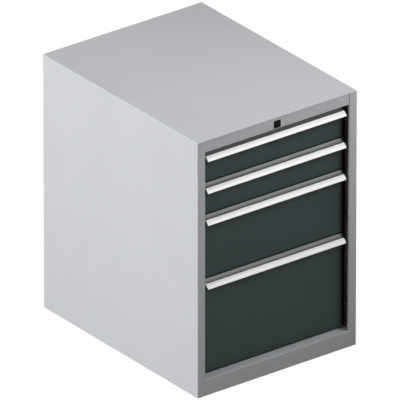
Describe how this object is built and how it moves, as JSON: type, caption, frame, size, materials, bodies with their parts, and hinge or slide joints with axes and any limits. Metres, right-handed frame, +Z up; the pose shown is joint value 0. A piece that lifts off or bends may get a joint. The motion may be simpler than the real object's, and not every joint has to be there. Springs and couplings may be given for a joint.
{
  "type": "workshop drawer cabinet",
  "caption": "Floor-standing sheet-steel drawer cabinet on a plinth, with full-extension drawers of graded height, full-width label grips and a central lock.",
  "frame": {"origin": "on the floor, under the middle of the footprint", "axes": "+Z up, +X to the right seen from the front, the drawer fronts face -Y"},
  "size_m": [0.564, 0.725, 0.8],
  "materials": {
    "housing_paint": "fine-textured powder coat, light grey",
    "drawer_paint": "fine-textured powder coat, dark grey",
    "tray_paint": "smooth powder coat, light grey",
    "grip_aluminium": "grey anodised, satin",
    "label_white": "white card strip",
    "cap_plastic": "moulded, fine grain",
    "lock_black": "black, satin",
    "runner_steel": "zinc plated",
    "roller_nylon": "natural nylon",
    "guide_plastic": "moulded acetal"
  },
  "bodies": {
    "housing": {"plinth_frame": "housing_paint", "floor_panel": "housing_paint", "side_panel_left": "housing_paint", "side_panel_right": "housing_paint", "rear_panel": "housing_paint", "top_panel": "housing_paint", "top_rail": "housing_paint", "lock_plate": "housing_paint", "uprights": "runner_steel", "lock_case": "lock_black", "lock_nut": "runner_steel", "lock_guides": "guide_plastic", "cabinet_rails_1": "runner_steel", "cabinet_rails_2": "runner_steel", "cabinet_rails_3": "runner_steel", "cabinet_rails_4": "runner_steel"},
    "lock_plug": {"lock_plug": "lock_black", "lock_cam": "runner_steel"},
    "lock_slide": {"lock_slide": "runner_steel"},
    "lock_bar": {"lock_bar": "runner_steel"},
    "drawer_1": {"tray_1": "tray_paint", "front_1": "drawer_paint", "handle_1": "grip_aluminium", "label_strip_1": "label_white", "handle_end_caps_1": "cap_plastic", "drawer_rails_1": "runner_steel"},
    "carriage_1": {"carriages_1": "runner_steel"},
    "front_rollers_1": {"rollers_front_1": "roller_nylon"},
    "middle_rollers_1": {"rollers_middle_1": "roller_nylon"},
    "rear_rollers_1": {"rollers_rear_1": "roller_nylon"},
    "drawer_2": {"tray_2": "tray_paint", "front_2": "drawer_paint", "handle_2": "grip_aluminium", "label_strip_2": "label_white", "handle_end_caps_2": "cap_plastic", "drawer_rails_2": "runner_steel"},
    "carriage_2": {"carriages_2": "runner_steel"},
    "front_rollers_2": {"rollers_front_2": "roller_nylon"},
    "middle_rollers_2": {"rollers_middle_2": "roller_nylon"},
    "rear_rollers_2": {"rollers_rear_2": "roller_nylon"},
    "drawer_3": {"tray_3": "tray_paint", "front_3": "drawer_paint", "handle_3": "grip_aluminium", "label_strip_3": "label_white", "handle_end_caps_3": "cap_plastic", "drawer_rails_3": "runner_steel"},
    "carriage_3": {"carriages_3": "runner_steel"},
    "front_rollers_3": {"rollers_front_3": "roller_nylon"},
    "middle_rollers_3": {"rollers_middle_3": "roller_nylon"},
    "rear_rollers_3": {"rollers_rear_3": "roller_nylon"},
    "drawer_4": {"tray_4": "tray_paint", "front_4": "drawer_paint", "handle_4": "grip_aluminium", "label_strip_4": "label_white", "handle_end_caps_4": "cap_plastic", "drawer_rails_4": "runner_steel"},
    "carriage_4": {"carriages_4": "runner_steel"},
    "front_rollers_4": {"rollers_front_4": "roller_nylon"},
    "middle_rollers_4": {"rollers_middle_4": "roller_nylon"},
    "rear_rollers_4": {"rollers_rear_4": "roller_nylon"}
  },
  "joints": [
    {"name": "lock_turn", "type": "hinge", "parent": "housing", "child": "lock_plug", "pos_m": [0, -0.345, 0.778], "axis": [0, 1, 0], "range_deg": [0, 90]},
    {"name": "lock_slide_shift", "type": "slide", "parent": "housing", "child": "lock_slide", "axis": [-1, 0, 0], "range_m": [0, 0.01415]},
    {"name": "lock_bar_lift", "type": "slide", "parent": "housing", "child": "lock_bar", "axis": [0, 0, 1], "range_m": [0, 0.01414]},
    {"name": "drawer_1_slide", "type": "slide", "parent": "housing", "child": "drawer_1", "axis": [0, -1, 0], "range_m": [0, 0.6]},
    {"name": "carriage_1_slide", "type": "slide", "parent": "housing", "child": "carriage_1", "axis": [0, -1, 0], "range_m": [0, 0.3001]},
    {"name": "front_rollers_1_spin", "type": "hinge", "parent": "carriage_1", "child": "front_rollers_1", "pos_m": [0, -0.29, 0.695], "axis": [1, 0, 0], "range_deg": [0, 1719]},
    {"name": "middle_rollers_1_spin", "type": "hinge", "parent": "carriage_1", "child": "middle_rollers_1", "pos_m": [0, 0.003, 0.695], "axis": [1, 0, 0], "range_deg": [0, 1719]},
    {"name": "rear_rollers_1_spin", "type": "hinge", "parent": "carriage_1", "child": "rear_rollers_1", "pos_m": [0, 0.3015, 0.695], "axis": [1, 0, 0], "range_deg": [0, 1719]},
    {"name": "drawer_2_slide", "type": "slide", "parent": "housing", "child": "drawer_2", "axis": [0, -1, 0], "range_m": [0, 0.6]},
    {"name": "carriage_2_slide", "type": "slide", "parent": "housing", "child": "carriage_2", "axis": [0, -1, 0], "range_m": [0, 0.3001]},
    {"name": "front_rollers_2_spin", "type": "hinge", "parent": "carriage_2", "child": "front_rollers_2", "pos_m": [0, -0.29, 0.595], "axis": [1, 0, 0], "range_deg": [0, 1719]},
    {"name": "middle_rollers_2_spin", "type": "hinge", "parent": "carriage_2", "child": "middle_rollers_2", "pos_m": [0, 0.003, 0.595], "axis": [1, 0, 0], "range_deg": [0, 1719]},
    {"name": "rear_rollers_2_spin", "type": "hinge", "parent": "carriage_2", "child": "rear_rollers_2", "pos_m": [0, 0.3015, 0.595], "axis": [1, 0, 0], "range_deg": [0, 1719]},
    {"name": "drawer_3_slide", "type": "slide", "parent": "housing", "child": "drawer_3", "axis": [0, -1, 0], "range_m": [0, 0.6]},
    {"name": "carriage_3_slide", "type": "slide", "parent": "housing", "child": "carriage_3", "axis": [0, -1, 0], "range_m": [0, 0.3001]},
    {"name": "front_rollers_3_spin", "type": "hinge", "parent": "carriage_3", "child": "front_rollers_3", "pos_m": [0, -0.29, 0.395], "axis": [1, 0, 0], "range_deg": [0, 1719]},
    {"name": "middle_rollers_3_spin", "type": "hinge", "parent": "carriage_3", "child": "middle_rollers_3", "pos_m": [0, 0.003, 0.395], "axis": [1, 0, 0], "range_deg": [0, 1719]},
    {"name": "rear_rollers_3_spin", "type": "hinge", "parent": "carriage_3", "child": "rear_rollers_3", "pos_m": [0, 0.3015, 0.395], "axis": [1, 0, 0], "range_deg": [0, 1719]},
    {"name": "drawer_4_slide", "type": "slide", "parent": "housing", "child": "drawer_4", "axis": [0, -1, 0], "range_m": [0, 0.6]},
    {"name": "carriage_4_slide", "type": "slide", "parent": "housing", "child": "carriage_4", "axis": [0, -1, 0], "range_m": [0, 0.3001]},
    {"name": "front_rollers_4_spin", "type": "hinge", "parent": "carriage_4", "child": "front_rollers_4", "pos_m": [0, -0.29, 0.095], "axis": [1, 0, 0], "range_deg": [0, 1719]},
    {"name": "middle_rollers_4_spin", "type": "hinge", "parent": "carriage_4", "child": "middle_rollers_4", "pos_m": [0, 0.003, 0.095], "axis": [1, 0, 0], "range_deg": [0, 1719]},
    {"name": "rear_rollers_4_spin", "type": "hinge", "parent": "carriage_4", "child": "rear_rollers_4", "pos_m": [0, 0.3015, 0.095], "axis": [1, 0, 0], "range_deg": [0, 1719]}
  ],
  "couplings": [
    {"joint": "lock_slide_shift", "follows": "lock_bar_lift", "ratio": 1},
    {"joint": "lock_turn", "follows": "lock_bar_lift", "rad_per_m": 111.07},
    {"joint": "carriage_1_slide", "follows": "drawer_1_slide", "ratio": 0.5},
    {"joint": "front_rollers_1_spin", "follows": "drawer_1_slide", "rad_per_m": 50},
    {"joint": "middle_rollers_1_spin", "follows": "drawer_1_slide", "rad_per_m": 50},
    {"joint": "rear_rollers_1_spin", "follows": "drawer_1_slide", "rad_per_m": 50},
    {"joint": "carriage_2_slide", "follows": "drawer_2_slide", "ratio": 0.5},
    {"joint": "front_rollers_2_spin", "follows": "drawer_2_slide", "rad_per_m": 50},
    {"joint": "middle_rollers_2_spin", "follows": "drawer_2_slide", "rad_per_m": 50},
    {"joint": "rear_rollers_2_spin", "follows": "drawer_2_slide", "rad_per_m": 50},
    {"joint": "carriage_3_slide", "follows": "drawer_3_slide", "ratio": 0.5},
    {"joint": "front_rollers_3_spin", "follows": "drawer_3_slide", "rad_per_m": 50},
    {"joint": "middle_rollers_3_spin", "follows": "drawer_3_slide", "rad_per_m": 50},
    {"joint": "rear_rollers_3_spin", "follows": "drawer_3_slide", "rad_per_m": 50},
    {"joint": "carriage_4_slide", "follows": "drawer_4_slide", "ratio": 0.5},
    {"joint": "front_rollers_4_spin", "follows": "drawer_4_slide", "rad_per_m": 50},
    {"joint": "middle_rollers_4_spin", "follows": "drawer_4_slide", "rad_per_m": 50},
    {"joint": "rear_rollers_4_spin", "follows": "drawer_4_slide", "rad_per_m": 50}
  ]
}
